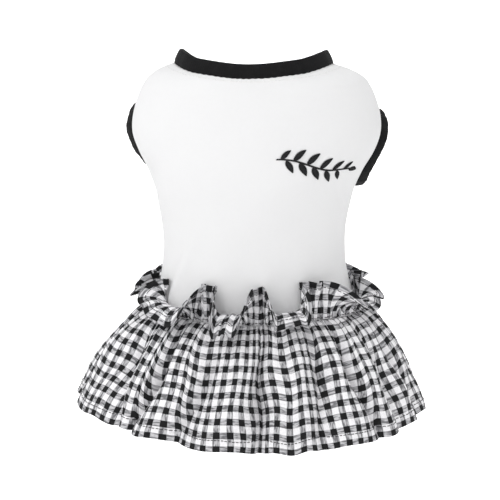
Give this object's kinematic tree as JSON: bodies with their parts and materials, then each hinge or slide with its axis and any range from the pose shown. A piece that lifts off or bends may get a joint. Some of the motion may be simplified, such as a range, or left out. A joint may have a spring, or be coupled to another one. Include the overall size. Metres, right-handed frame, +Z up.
{
  "type": "dog dress",
  "caption": "Sleeveless small-dog dress in worn form: jersey bodice with knit neck and leg bands, a gathered gingham skirt and a standing frill at its waist seam.",
  "frame": {"origin": "middle of the neck hole, on the level of the bodice's cloth edge at the sides of the neck", "axes": "+Z up towards the dog's head, -Y towards the dog's back (the face in the picture), +X to the right seen from the back"},
  "size_m": [0.2381, 0.2004, 0.2522],
  "materials": {
    "jersey": "matt white cotton jersey",
    "knit_band": "matt black rib knit",
    "gingham": "matt black and white woven check"
  },
  "bodies": {
    "root": {"back_panel": "jersey", "belly_panel": "jersey", "neck_band": "knit_band", "leg_band_left": "knit_band", "leg_band_right": "knit_band", "skirt": "gingham", "frill": "gingham"}
  },
  "joints": []
}
